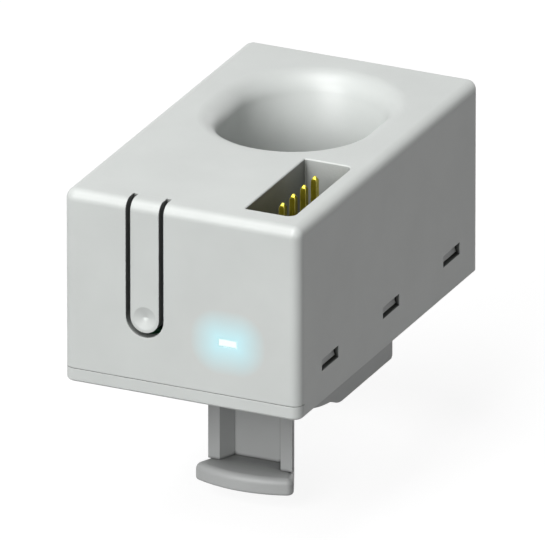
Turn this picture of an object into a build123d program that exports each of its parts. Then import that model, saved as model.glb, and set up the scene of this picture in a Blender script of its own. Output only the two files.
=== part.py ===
from build123d import *
import math
import os

# Plug-on current sensor with an adapter foot underneath.
# Frame: origin on the axis of the cable passage, in the plane of the housing's underside.
# +X points right as the front is seen, +Y from the front to the back, +Z up. All sizes in mm.

# Housing
width = 25.4
height = 20.23
wall = 1.2
front_top_round = 1.1
back_top_round = 0.45
side_round = 1.05
bottom_edge = 0.2

# Cable passage: an oblong tube through the housing, flared at the top
passage_width = 15.2
passage_length = 19.2
passage_setback = 18.7
passage_backset = 4.7
passage_flare = 1.9
passage_lip = 0.5
tube_wall = 1.0

# Base cover, its front strip and its snap hooks
floor_thickness = 1.4
seam_gap = 0.06
floor_fit = 0.1
rebate_height = 1.0
rebate_thickness = 0.8
hook_pitch = 14.4
hook_offset = 0.3
hook_length = 3.5
hook_shift = 0.05
hook_stem = 0.9
hook_recess = 0.3
catch_height = 0.85
catch_slope = 0.3
window_length = 3.9
window_height = 1.25
window_sill = 3.38

# Push button cut out of the front wall
button_inset = 8.76
button_z = 8.03
button_width = 3.04
button_slot = 0.52
button_root = 2.0
root_relief = 0.05
dimple_radius = 1.2
dimple_depth = 0.35
boss_radius = 0.8
boss_height = 0.4

# Lit window
window_inset = 7.71
window_z = 6.96
window_width = 2.0
window_tall = 0.78
guide_length = 2.5
guide_fit = 0.02

# Connector pocket and its header
pocket_margin = 2.05
pocket_width = 5.15
pocket_setback = 2.9
pocket_length = 14.05
pocket_depth = 8.5
pocket_corner = 0.8
pocket_key_corner = 0.15
pocket_rim = 0.1
pocket_wall = 1.0
pin_count = 4
pin_pitch = 2.5
pin_size = 0.64
pin_point = 0.5
pin_drop = 0.2
pin_tail = 1.0
header_width = 2.5
header_end = 1.35
header_fit = 0.15
header_edge = 0.3
pin_fit = 0.02

# Circuit board and what stands on it
board_underside = 5.33
board_thickness = 1.0
board_margin = 0.4
board_setback = 1.9
board_back_gap = 0.15
board_corner = 0.8
post_radius = 1.1
post_inset = 1.7
board_hole_fit = 0.12

switch_width = 4.5
switch_length = 3.0
switch_edge = 0.25
switch_bore = 1.3
switch_lug = 1.2
plunger_width = 1.8
plunger_height = 1.3
plunger_hold = 0.9
plunger_round = 0.25
plunger_gap = 0.1
plunger_fit = 0.05
switch_gap = 0.9

led_width = 2.0
led_length = 1.0
led_lens = 0.3
led_gap = 0.1

lead_thickness = 0.2
chip_lift = 0.1
chip_edge = 0.12
chip_dot = 0.25
dot_depth = 0.08
controller_x = -1.2
controller_setback = 9.2
controller_length = 5.0
controller_width = 4.4
controller_height = 1.1
controller_leads = 8
controller_lead_width = 0.25
controller_reach = 0.9
transceiver_inset = 2.9
transceiver_setback = 10.4
transceiver_length = 4.9
transceiver_width = 3.9
transceiver_height = 1.5
transceiver_leads = 4
transceiver_lead_width = 0.4
transceiver_reach = 0.8

supply_spacing = 2.45
regulator_setback = 11.9
regulator_length = 2.9
regulator_width = 1.5
regulator_height = 1.1
regulator_reach = 0.5
regulator_lead_width = 0.4
regulator_lead_pitch = 0.95
buffer_setback = 8.2
buffer_length = 3.2
buffer_width = 1.6
filter_length = 1.6
filter_width = 0.8
filter_setback = 6.1
filter_spread = 1.25
supply_filter_setback = 5.6
cap_band = 0.4
cap_edge = 0.05
crystal_x = 1.45
crystal_setback = 4.35
crystal_width = 1.5
crystal_length = 3.0
crystal_height = 0.8
crystal_round = 0.3
crystal_edge = 0.12

# Magnetic core, its cradle and the sensor in its air gap
core_clearance = 0.3
core_side_gap = 0.5
core_end_gap = 0.1
core_underside = 4.93
core_top_gap = 0.4
air_gap = 1.9
cradle_inset = 0.35
flange_inset = 0.25
cradle_flange = 1.0

hall_thickness = 1.5
hall_length = 2.9
hall_height = 4.1
hall_seat = 0.15
hall_lift = 0.65
hall_edge = 0.3
hall_lead = 0.4
hall_lead_pitch = 1.27
hall_lead_step = 0.6

# Adapter foot
foot_width = 17.5
foot_height = 5.63
foot_wall = 1.2
foot_front = 4.5
leg_reach = 2.35
foot_chamfer = 0.25
ramp_depth = 4.7
ramp_radius = 24.0
step_angle = 24.0
step_radius = 4.0
guide_wall = 1.45
guide_overlap = 0.65
rib_thickness = 1.0
rib_spacing = 5.2
peg_radius = 0.9
peg_inset = 1.55
peg_setback = 0.95
peg_height = 1.2
peg_fit = 0.05

# Release latch
latch_setback = 2.65
latch_half_width = 4.55
flange_width = 1.25
channel_depth = 1.85
web_thickness = 0.75
side_straight = 0.5
side_lean = 0.45
latch_reach = 13.05
latch_top_gap = 0.3
latch_travel = 2.0
latch_fit = 0.15
latch_end_gap = 0.05
wing_width = 0.9
wing_length = 1.15
wing_thickness = 0.9
lip_thickness = 1.8
lip_half_width = 5.45
lip_overhang = 2.8
lip_arc_radius = 13.0
lip_corner = 0.7
lip_round = 0.7
lip_foot_round = 0.3

# Places that follow from the sizes above
y_front = -(passage_setback + passage_length / 2)
y_back = passage_length / 2 + passage_backset
depth = y_back - y_front
x_side = width / 2
x_inner = x_side - wall
passage_radius = passage_width / 2
passage_straight = passage_length - passage_width
tube_radius = passage_radius + tube_wall
strip_top = floor_thickness
button_x = -x_side + button_inset
window_x = x_side - window_inset
pocket_x = x_side - pocket_margin - pocket_width / 2
pocket_floor = height - pocket_depth
well_low = pocket_floor - pocket_wall
pocket_y = y_front + pocket_setback + pocket_length / 2
board_top = board_underside + board_thickness
header_length = (pin_count - 1) * pin_pitch + 2 * header_end
hook_rows = [y_front + depth / 2 + hook_offset + k * hook_pitch for k in (-1, 0, 1)]
pin_rows = [pocket_y + (k - (pin_count - 1) / 2) * pin_pitch for k in range(pin_count)]
boss_face = y_front + wall + boss_height
plunger_face = boss_face + plunger_gap
switch_face = plunger_face + switch_gap
switch_height = 2 * (button_z - board_top)
led_face = y_front + guide_length + led_gap
core_inner = tube_radius + core_clearance
core_outer = min(x_inner - core_side_gap, y_back - wall - core_end_gap - passage_straight / 2)
core_top = well_low - core_top_gap
hall_back = -passage_straight / 2 - tube_radius - hall_seat
hall_front = hall_back - hall_length
board_half = x_inner - board_margin
board_front = y_front + board_setback
board_back = hall_front - board_back_gap
post_x = board_half - post_inset
post_rows = (board_front + post_inset, board_back - post_inset)
transceiver_x = -board_half + transceiver_inset
supply_x = pocket_x - header_width / 2 - supply_spacing
filter_spots = [
    (transceiver_x - filter_spread, y_front + filter_setback),
    (transceiver_x + filter_spread, y_front + filter_setback),
    (supply_x, y_front + supply_filter_setback),
]
latch_y = -passage_length / 2 - latch_setback
latch_back = latch_y + channel_depth + web_thickness
guide_front = latch_y - guide_wall
guide_back = -passage_length / 2 + guide_overlap
peg_x = foot_width / 2 - peg_inset
peg_y = latch_y + peg_setback


def block(x, y, z):
    """Box between pairs of low and high values."""
    spans = [hi - lo for lo, hi in (x, y, z)]
    centre = [(hi + lo) / 2 for lo, hi in (x, y, z)]
    return Pos(*centre) * Box(*spans)


def around(centre, size):
    """Low and high value of a span of a given size about its centre."""
    return (centre - size / 2, centre + size / 2)


def oblong(radius, low, high):
    """Solid oblong column about the cable passage's axis."""
    shape = SlotCenterToCenter(passage_straight, 2 * radius, rotation=90)
    return extrude(Plane.XY.offset(low) * shape, high - low)


def post(x, y, radius, low, high):
    """Round upright pin or hole."""
    return Pos(x, y, (low + high) / 2) * Cylinder(radius, high - low)


def edges_at(shape, axis, value, span=0.01):
    """Edges whose centre lies at a value along an axis."""
    return shape.edges().filter_by_position(axis, value - span, value + span)


def outer_form():
    """The whole housing as a solid with its rounded edges, before it is split and hollowed."""
    form = block((-x_side, x_side), (y_front, y_back), (0, height))
    form = fillet(form.edges().filter_by(Axis.X).group_by(Axis.Z)[-1].sort_by(Axis.Y)[0], front_top_round)
    form = fillet(form.edges().filter_by(Axis.X).group_by(Axis.Z)[-1].sort_by(Axis.Y)[-1], back_top_round)
    rims = [e for e in form.edges() if abs(abs(e.center().X) - x_side) < 0.01 and e.center().Z > 0.01]
    form = fillet(rims, side_round)
    feet = [e for e in form.edges() if abs(e.center().Z) < 0.01]
    return chamfer(feet, bottom_edge)


def front_strip_space(gap):
    """The room of the base cover's front strip, below the seam line and across the full width."""
    reach = x_side + 1
    return block((-reach, reach), (y_front - 1, y_front + wall), (-1, strip_top + gap))


def button_outline(half_width):
    """Tongue-shaped bar from before the front wall to the root: a round end and straight sides up."""
    front = y_front - 1
    back = y_front + button_root
    plane = Plane(origin=(button_x, front, button_z), x_dir=(1, 0, 0), z_dir=(0, -1, 0))
    end = extrude(plane * Circle(half_width), -(back - front))
    sides = block(around(button_x, 2 * half_width), (front, back), (button_z, height + 1))
    return end + sides


def hook_windows():
    """Openings in both side walls over the snap hooks."""
    cuts = []
    for y in hook_rows:
        z = (window_sill, window_sill + window_height)
        cuts.append(block((-x_side - 1, -x_inner + 0.3), around(y, window_length), z))
        cuts.append(block((x_inner - 0.3, x_side + 1), around(y, window_length), z))
    return cuts


def pocket_shape(low, high, grow=0.0):
    """Column with the connector pocket's plan: large corners on the right, small ones on the left."""
    plan = Rectangle(pocket_width + 2 * grow, pocket_length + 2 * grow)
    corners = plan.vertices().sort_by(Axis.X)
    plan = fillet(corners[2:], pocket_corner)
    plan = fillet(plan.vertices().group_by(Axis.X)[0], pocket_key_corner)
    return extrude(Plane.XY.offset(low) * Pos(pocket_x, pocket_y) * plan, high - low)


def make_upper_housing(form):
    """Moulded shell: side walls, cable tube with its flare, connector well and button slot."""
    cavity = block((-x_inner, x_inner), (y_front + wall, y_back - wall), (-1, height - wall))
    well = pocket_shape(well_low, height - wall / 2, pocket_wall)
    well &= block((-x_side, x_side), (y_front, y_back), (well_low, height))
    tube = oblong(tube_radius, 0, height - wall / 2)
    shell = form - cavity + (tube & form) + (well & form)
    shell -= oblong(passage_radius, -1, height + 1)
    mouth = [e for e in edges_at(shell, Axis.Z, height)
             if abs(e.center().X) < passage_radius + 0.5 and abs(e.center().Y) < passage_length / 2 + 0.5]
    shell = fillet(mouth, passage_flare)
    lip = [e for e in edges_at(shell, Axis.Z, 0)
           if abs(e.center().X) < passage_radius + 0.1 and abs(e.center().Y) < passage_length / 2 + 0.1]
    shell = chamfer(lip, passage_lip)
    shell -= pocket_shape(pocket_floor, height + 1)
    rim = [e for e in edges_at(shell, Axis.Z, height)
           if abs(e.center().X - pocket_x) < pocket_width / 2 + 0.1
           and abs(e.center().Y - pocket_y) < pocket_length / 2 + 0.1]
    shell = chamfer(rim, pocket_rim)
    shell -= block(around(pocket_x, header_width + 2 * header_fit),
                   around(pocket_y, header_length + 2 * header_fit), (well_low - 1, pocket_floor + 1))
    shell -= button_outline(button_width / 2 + button_slot)
    shell -= block(around(window_x, window_width + 2 * guide_fit), (y_front - 1, y_front + wall + 1),
                   around(window_z, window_tall + 2 * guide_fit))
    shell -= front_strip_space(seam_gap)
    for cut in hook_windows():
        shell -= cut
    return shell


def make_button_tongue(form):
    """The push button: the front wall's tongue, bent over the top edge to its root."""
    skin = form - block((-x_inner, x_inner), (y_front + wall, y_back - wall), (-1, height - wall))
    root = y_front + button_root
    tongue = skin & button_outline(button_width / 2)
    relief = Plane.YZ * Polyline((root, height), (root + wall, height), (root + wall, height - 2 * wall),
                                 (root - 2 * root_relief, height - 2 * wall), close=True)
    tongue -= extrude(make_face(relief), width / 2, both=True)
    boss = Plane(origin=(button_x, y_front + wall / 2, button_z), x_dir=(1, 0, 0), z_dir=(0, 1, 0))
    tongue += extrude(boss * Circle(boss_radius), wall / 2 + boss_height)
    face = Plane(origin=(button_x, y_front, button_z), x_dir=(1, 0, 0), z_dir=(0, 1, 0))
    tongue -= face * Cone(dimple_radius, 0, dimple_depth, align=(Align.CENTER, Align.CENTER, Align.MIN))
    return tongue


def snap_hook(y):
    """Right-hand hook: a springy stem with a sloped catch that shows in the wall's window."""
    stem_out = x_inner - floor_fit
    stem_in = stem_out - hook_stem
    catch_out = x_side - hook_recess
    top = window_sill + window_height - floor_fit
    catch_low = top - catch_height
    root = floor_thickness / 2
    profile = Plane.XZ * Polyline((stem_in, root), (stem_out, root),
                                  (stem_out, catch_low), (catch_out, catch_low),
                                  (catch_out - catch_slope / 2, top - catch_slope), (stem_out, top),
                                  (stem_in, top), close=True)
    hook = extrude(make_face(profile), hook_length / 2, both=True)
    return Pos(0, y - hook_shift, 0) * hook


def make_base_cover(form):
    """Floor plate with the front strip, a rebate lip, board posts and six snap hooks."""
    plate = block((-x_inner + floor_fit, x_inner - floor_fit),
                  (y_front + wall / 2, y_back - wall - floor_fit), (0, floor_thickness))
    strip = form & front_strip_space(0)
    cover = plate + strip
    cover += block((-x_inner + floor_fit, x_inner - floor_fit),
                   (y_front + wall + floor_fit, y_front + wall + floor_fit + rebate_thickness),
                   (floor_thickness / 2, floor_thickness + rebate_height))
    cover -= oblong(tube_radius + floor_fit, -1, floor_thickness + 1)
    for side in (-1, 1):
        cover -= post(side * peg_x, peg_y, peg_radius + peg_fit, -1, floor_thickness + 1)
        for y in post_rows:
            cover += post(side * post_x, y, post_radius, floor_thickness / 2, board_underside)
    for y in hook_rows:
        cover += snap_hook(y)
        cover += mirror(snap_hook(y), Plane.YZ)
    return cover


def make_circuit_board():
    """Board across the front of the housing, with a hole for each header pin."""
    board = block((-board_half, board_half), (board_front, board_back), (board_underside, board_top))
    board = fillet(board.edges().filter_by(Axis.Z), board_corner)
    for y in pin_rows:
        board -= post(pocket_x, y, pin_size * math.sqrt(0.5) + board_hole_fit, board_underside - 1, board_top + 1)
    return board


def make_header_base():
    """Tall insulating body that fills the pocket's floor and holds the pins."""
    base = block(around(pocket_x, header_width), around(pocket_y, header_length), (board_top, pocket_floor))
    base = chamfer(base.edges().filter_by(Axis.Z), header_edge)
    for y in pin_rows:
        hole = pin_size + 2 * pin_fit
        base -= block(around(pocket_x, hole), around(y, hole), (board_top - 1, pocket_floor + 1))
    return base


def make_header_pin(y):
    """Square pin with a tapered point at both ends."""
    low = board_underside - pin_tail
    high = height - pin_drop
    pin = block(around(pocket_x, pin_size), around(y, pin_size), (low, high))
    ends = [e for e in pin.edges() if abs(e.center().Z - low) < 0.01 or abs(e.center().Z - high) < 0.01]
    return chamfer(ends, pin_point, pin_size * 0.3)


def make_light_guide():
    """Clear bar from the front face to the light source."""
    return block(around(window_x, window_width), (y_front, y_front + guide_length), around(window_z, window_tall))


def make_status_led():
    """Side-view light source on the board, with a small domed lens towards the guide."""
    tall = 2 * (window_z - board_top)
    body = block(around(window_x, led_width), (led_face + led_lens, led_face + led_length),
                 (board_top, board_top + tall))
    lens = Plane(origin=(window_x, led_face, window_z), x_dir=(1, 0, 0), z_dir=(0, 1, 0))
    return body + extrude(lens * RectangleRounded(led_width * 0.7, tall * 0.6, tall * 0.2), led_lens)


def make_switch_body():
    """Side-push switch: housing with the plunger's bore, and a solder lug on each side."""
    front = switch_face
    body = block(around(button_x, switch_width), (front, front + switch_length),
                 (board_top, board_top + switch_height))
    body = chamfer(body.edges().filter_by(Axis.Y), switch_edge)
    body -= block(around(button_x, plunger_width + 2 * plunger_fit), (front - 1, front + switch_bore),
                  around(button_z, plunger_height + 2 * plunger_fit))
    lugs = block(around(button_x, switch_width + switch_lug), around(front + switch_length / 2, switch_lug),
                 (board_top, board_top + lead_thickness))
    return body + lugs


def make_switch_plunger():
    """The switch's plunger, just clear of the button's boss."""
    bar = block(around(button_x, plunger_width), (plunger_face, switch_face + plunger_hold),
                around(button_z, plunger_height))
    return fillet(bar.edges().group_by(Axis.Y)[0], plunger_round)


def chip(x, y, length, breadth, tall):
    """Chip moulding, just above the board, with a round mark at one corner."""
    body = block(around(x, length), around(y, breadth), (board_top + chip_lift, board_top + tall))
    body = chamfer(body.edges().filter_by(Axis.Z) + body.edges().group_by(Axis.Z)[-1], chip_edge)
    mark_x = x - length / 2 + 3 * chip_dot
    mark_y = y - breadth / 2 + 3 * chip_dot
    return body - post(mark_x, mark_y, chip_dot, board_top + tall - dot_depth, board_top + tall + 1)


def gull_wing(x, edge, side, breadth, reach, tall):
    """Lead that leaves a chip's side at half height, drops to the board and ends in a flat foot."""
    knee = edge + side * reach / 2
    level = board_top + tall / 2
    shoulder = sorted((edge - side * lead_thickness, knee))
    drop = sorted((knee - side * lead_thickness, knee))
    foot = sorted((knee - side * lead_thickness, edge + side * reach))
    lead = block(around(x, breadth), shoulder, around(level, lead_thickness))
    lead += block(around(x, breadth), drop, (board_top, level + lead_thickness / 2))
    lead += block(around(x, breadth), foot, (board_top, board_top + lead_thickness))
    return lead


def two_row_chip(x, y, length, breadth, tall, lead_count, lead_width, reach):
    """Chip with evenly spaced gull-wing leads along both long sides."""
    body = chip(x, y, length, breadth, tall)
    pitch = length / lead_count
    for k in range(lead_count):
        lead_x = x + (k - (lead_count - 1) / 2) * pitch
        for side in (-1, 1):
            body += gull_wing(lead_x, y + side * breadth / 2, side, lead_width, reach, tall)
    return body


def make_microcontroller():
    """The sensor's processor."""
    return two_row_chip(controller_x, y_front + controller_setback, controller_length, controller_width,
                        controller_height, controller_leads, controller_lead_width, controller_reach)


def make_bus_transceiver():
    """The chip that drives the connector's data line."""
    return two_row_chip(transceiver_x, y_front + transceiver_setback, transceiver_length, transceiver_width,
                        transceiver_height, transceiver_leads, transceiver_lead_width, transceiver_reach)


def make_voltage_regulator():
    """Small regulator with two leads on one side and one on the other."""
    y = y_front + regulator_setback
    body = chip(supply_x, y, regulator_length, regulator_width, regulator_height)
    for offset, side in ((-regulator_lead_pitch, -1), (regulator_lead_pitch, -1), (0, 1)):
        body += gull_wing(supply_x + offset, y + side * regulator_width / 2, side, regulator_lead_width,
                          regulator_reach, regulator_height)
    return body


def end_capped(x, y, length, breadth):
    """Chip capacitor, as tall as it is broad: a body with two slightly larger end caps."""
    body = block(around(x, length - cap_band), around(y, breadth - 2 * cap_edge),
                 (board_top + cap_edge, board_top + breadth - cap_edge))
    for side in (-1, 1):
        cap = block(around(x + side * (length - cap_band) / 2, cap_band), around(y, breadth),
                    (board_top, board_top + breadth))
        body += chamfer(cap.edges(), cap_edge)
    return body


def make_buffer_capacitor():
    """The supply's storage capacitor."""
    return end_capped(supply_x, y_front + buffer_setback, buffer_length, buffer_width)


def make_filter_capacitor(x, y):
    """Small capacitor beside a chip."""
    return end_capped(x, y, filter_length, filter_width)


def make_crystal():
    """The processor's clock: a flat metal can."""
    can = block(around(crystal_x, crystal_width), around(y_front + crystal_setback, crystal_length),
                (board_top, board_top + crystal_height))
    can = fillet(can.edges().filter_by(Axis.Z), crystal_round)
    return chamfer(can.edges().group_by(Axis.Z)[-1], crystal_edge)


def make_magnetic_core():
    """Oblong ring round the cable tube with one air gap at the front."""
    ring = oblong(core_outer, core_underside, core_top)
    ring -= oblong(core_inner, core_underside - 1, core_top + 1)
    gap_back = -passage_straight / 2 - core_inner / 2
    return ring - block(around(0, air_gap), (y_front, gap_back), (core_underside - 1, core_top + 1))


def make_core_cradle():
    """Moulded ring that carries the core above the floor plate, with a flange under the core."""
    ring = oblong(core_outer - cradle_inset, floor_thickness, core_underside - cradle_flange)
    ring -= oblong(core_inner + cradle_inset, floor_thickness - 1, core_underside)
    flange = oblong(core_outer - flange_inset, core_underside - cradle_flange, core_underside)
    return ring + flange - oblong(core_inner, core_underside - cradle_flange, core_underside)


def make_hall_sensor():
    """Field sensor that stands in the core's air gap, with three leads bent down to the board."""
    low = core_underside + hall_lift
    body = block(around(0, hall_thickness), (hall_front, hall_back), (low, low + hall_height))
    body = chamfer(body.edges().filter_by(Axis.Z), hall_edge)
    for k in range(3):
        z = low + hall_height / 2 + (k - 1) * hall_lead_pitch + board_back_gap
        y = board_back - hall_lead_step * (k + 1)
        body += block(around(0, hall_lead), (y, hall_front + board_back_gap), around(z, hall_lead))
        body += block(around(0, hall_lead), around(y, hall_lead), (board_top, z + hall_lead / 2))
    return body


def foot_profile():
    """Side view of the foot, kept going above the underside: ramp, rounded step, flat seat."""
    front = y_front + foot_front
    step_y = latch_y - latch_fit
    angle = math.radians(step_angle)
    arc_drop = step_radius * (1 - math.cos(angle))
    arc_start_z = -foot_height + arc_drop
    arc_start_y = step_y + (-ramp_depth - arc_start_z) / math.tan(angle)
    flat_start = arc_start_y + step_radius * math.sin(angle)
    ramp = RadiusArc((front, 0), (step_y, -ramp_depth), -ramp_radius)
    if (ramp @ 0.5).Y > -ramp_depth / 2:
        ramp = RadiusArc((front, 0), (step_y, -ramp_depth), ramp_radius)
    slope = Line((step_y, -ramp_depth), (arc_start_y, arc_start_z))
    step = TangentArc((arc_start_y, arc_start_z), (flat_start, -foot_height),
                      tangent=(math.cos(angle), -math.sin(angle)))
    rest = Polyline((flat_start, -foot_height), (leg_reach - foot_chamfer, -foot_height),
                    (leg_reach, -foot_height + foot_chamfer), (leg_reach, foot_wall), (front, foot_wall), (front, 0))
    return make_face(ramp + slope + step + rest)


def latch_section(grow=0.0):
    """Plan of the latch: a channel whose flanges face the front and lean in towards the web."""
    inner = latch_half_width - flange_width
    web = latch_y + channel_depth
    lean_start = latch_y + side_straight
    root = latch_half_width - side_lean * (latch_back - lean_start)
    right = [(latch_half_width, latch_y), (latch_half_width, lean_start), (root, latch_back)]
    channel = [(inner - side_lean * channel_depth, web), (inner, latch_y)]
    outline = right + [(-x, y) for x, y in reversed(right)]
    notch = [(-x, y) for x, y in reversed(channel)] + channel
    section = make_face(Polyline(*(outline + notch), close=True))
    if grow > 0:
        section = offset(section, grow, kind=Kind.INTERSECTION)
    return section


def make_adapter_foot():
    """Foot under the housing: a hollow ramp, a guide for the latch and two legs beside the passage."""
    half = foot_width / 2
    foot = extrude(Plane.YZ * foot_profile(), half, both=True)
    foot &= block((-half, half), (y_front, y_back), (-foot_height - 1, 0))
    hollow = extrude(Plane.YZ * offset(foot_profile(), -foot_wall), half - foot_wall, both=True)
    hollow &= block((-half, half), (y_front, guide_front), (-foot_height, foot_wall))
    for side in (-1, 1):
        hollow -= block(around(side * rib_spacing / 2, rib_thickness), (y_front, y_back), (-foot_height, foot_wall))
    foot -= hollow
    passage = oblong(passage_radius, -foot_height - 1, 1)
    passage += block((-passage_radius, passage_radius), (0, y_back), (-foot_height - 1, 1))
    foot -= passage & block((-half, half), (guide_back, y_back), (-foot_height - 1, 1))
    foot -= extrude(Plane.XY.offset(-foot_height - 1) * latch_section(latch_fit), foot_height + 2)
    reach = latch_half_width + wing_width + latch_fit
    chamber_floor = -(latch_top_gap + wing_thickness + latch_travel + latch_end_gap)
    foot -= block((-reach, reach), (latch_y - latch_fit, latch_y + wing_length + latch_fit), (chamber_floor, 1))
    for side in (-1, 1):
        foot += post(side * peg_x, peg_y, peg_radius, -foot_wall, peg_height)
    return foot


def make_release_latch():
    """Channel-shaped slide with stop wings at the top and a crescent finger lip at the bottom."""
    top = -latch_top_gap
    slide = extrude(Plane.XY.offset(-latch_reach) * latch_section(), latch_reach - latch_top_gap)
    reach = latch_half_width + wing_width
    wings = block((-reach, reach), (latch_y, latch_y + wing_length), (top - wing_thickness, top))
    channel = block(around(0, 2 * (latch_half_width - flange_width)), (latch_y - 1, latch_y + wing_length + 1),
                    (top - wing_thickness - 1, top + 1))
    slide += wings - channel
    nose = latch_y - lip_overhang
    sag = lip_arc_radius - math.sqrt(lip_arc_radius ** 2 - lip_half_width ** 2)
    edge = nose + sag
    front = ThreePointArc((-lip_half_width, edge), (0, nose), (lip_half_width, edge))
    lean_start = latch_y + side_straight
    root = latch_half_width - side_lean * (latch_back - lean_start)
    sides = Polyline((lip_half_width, edge), (latch_half_width, lean_start), (root, latch_back),
                     (-root, latch_back), (-latch_half_width, lean_start), (-lip_half_width, edge))
    plan = make_face(front + sides)
    plan = fillet([v for v in plan.vertices() if v.Y < edge + 0.1], lip_corner)
    lip = extrude(Plane.XY.offset(-latch_reach - lip_thickness) * plan, lip_thickness)
    for group, size in ((-1, lip_round), (0, lip_foot_round)):
        rims = lip.edges().group_by(Axis.Z)[group]
        lip = fillet([e for e in rims if e.center().Y < lean_start - 0.1], size)
    return slide + lip


def build_parts():
    """All pieces by node name."""
    form = outer_form()
    parts = {
        "upper_housing": make_upper_housing(form),
        "button_tongue": make_button_tongue(form),
        "base_cover": make_base_cover(form),
        "light_guide": make_light_guide(),
        "circuit_board": make_circuit_board(),
        "header_base": make_header_base(),
        "status_led": make_status_led(),
        "switch_body": make_switch_body(),
        "switch_plunger": make_switch_plunger(),
        "microcontroller": make_microcontroller(),
        "bus_transceiver": make_bus_transceiver(),
        "voltage_regulator": make_voltage_regulator(),
        "crystal": make_crystal(),
        "buffer_capacitor": make_buffer_capacitor(),
        "magnetic_core": make_magnetic_core(),
        "core_cradle": make_core_cradle(),
        "hall_sensor": make_hall_sensor(),
        "adapter_foot": make_adapter_foot(),
        "release_latch": make_release_latch(),
    }
    for number, y in enumerate(pin_rows, start=1):
        parts[f"header_pin_{number}"] = make_header_pin(y)
    for number, (x, y) in enumerate(filter_spots, start=1):
        parts[f"filter_capacitor_{number}"] = make_filter_capacitor(x, y)
    return parts


os.makedirs("parts", exist_ok=True)
for name, shape in build_parts().items():
    export_step(shape, f"parts/{name}.step")
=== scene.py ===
"""Dresses the plug-on current sensor: finishes, modelled pieces, studio and camera."""

import logging
import math
from dataclasses import dataclass, field
from enum import Enum

import bmesh
import bpy
from mathutils import Matrix, Vector


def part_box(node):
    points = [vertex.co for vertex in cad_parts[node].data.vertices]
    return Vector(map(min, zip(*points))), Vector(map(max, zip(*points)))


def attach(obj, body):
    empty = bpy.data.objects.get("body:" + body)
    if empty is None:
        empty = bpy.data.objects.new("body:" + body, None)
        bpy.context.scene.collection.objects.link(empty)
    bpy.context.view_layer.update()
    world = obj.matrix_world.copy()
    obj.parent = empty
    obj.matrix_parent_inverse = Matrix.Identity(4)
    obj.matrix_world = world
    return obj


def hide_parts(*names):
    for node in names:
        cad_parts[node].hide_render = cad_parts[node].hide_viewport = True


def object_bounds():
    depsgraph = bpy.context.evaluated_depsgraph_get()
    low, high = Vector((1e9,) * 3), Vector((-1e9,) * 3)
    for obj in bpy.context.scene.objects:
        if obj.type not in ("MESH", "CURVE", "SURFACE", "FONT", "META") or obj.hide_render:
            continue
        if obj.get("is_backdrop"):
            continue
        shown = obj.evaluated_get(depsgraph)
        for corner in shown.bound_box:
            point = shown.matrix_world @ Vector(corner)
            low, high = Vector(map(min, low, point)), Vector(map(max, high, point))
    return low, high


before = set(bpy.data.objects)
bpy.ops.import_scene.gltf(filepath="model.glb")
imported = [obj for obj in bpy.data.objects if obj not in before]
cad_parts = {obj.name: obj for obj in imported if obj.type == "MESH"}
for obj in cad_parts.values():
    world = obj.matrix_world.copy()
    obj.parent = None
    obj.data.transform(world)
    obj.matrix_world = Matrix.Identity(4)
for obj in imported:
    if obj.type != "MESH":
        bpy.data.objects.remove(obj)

# The classes' fields give lengths in millimetres; Blender works in metres.
MM = 0.001
Colour = tuple[float, float, float]
BLACK: Colour = (0.0, 0.0, 0.0)
WHITE: Colour = (1.0, 1.0, 1.0)
log = logging.getLogger("current_sensor")

# The finishes already built, by name: the loaded nodes bring plain materials of the same names.
FINISHED: dict[str, bpy.types.Material] = {}


class Body(Enum):
    """The body that a modelled piece rides on."""

    HOUSING = "housing"


class Gloss(Enum):
    """How much a surface scatters what it reflects."""

    SATIN = 0.36
    SOFT = 0.46


def nodes_box(names: list[str]) -> list[list[float]]:
    """Measures the whole object's box and notes it.

    Args:
        names: what the box is logged under.

    Returns:
        The lowest and the highest corner, in metres.
    """
    low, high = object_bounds()
    log.info("box %s: %s to %s", names, tuple(low), tuple(high))
    return [[float(v) for v in low], [float(v) for v in high]]


def shaded(colour: Colour, factor: float, lift: float = 0.0) -> Colour:
    """Scales a colour and lifts it, at most to white.

    Args:
        colour: the colour.
        factor: what it is multiplied by.
        lift: what is added after that.

    Returns:
        The new colour.
    """
    return tuple(min(1.0, channel * factor + lift) for channel in colour)


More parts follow.
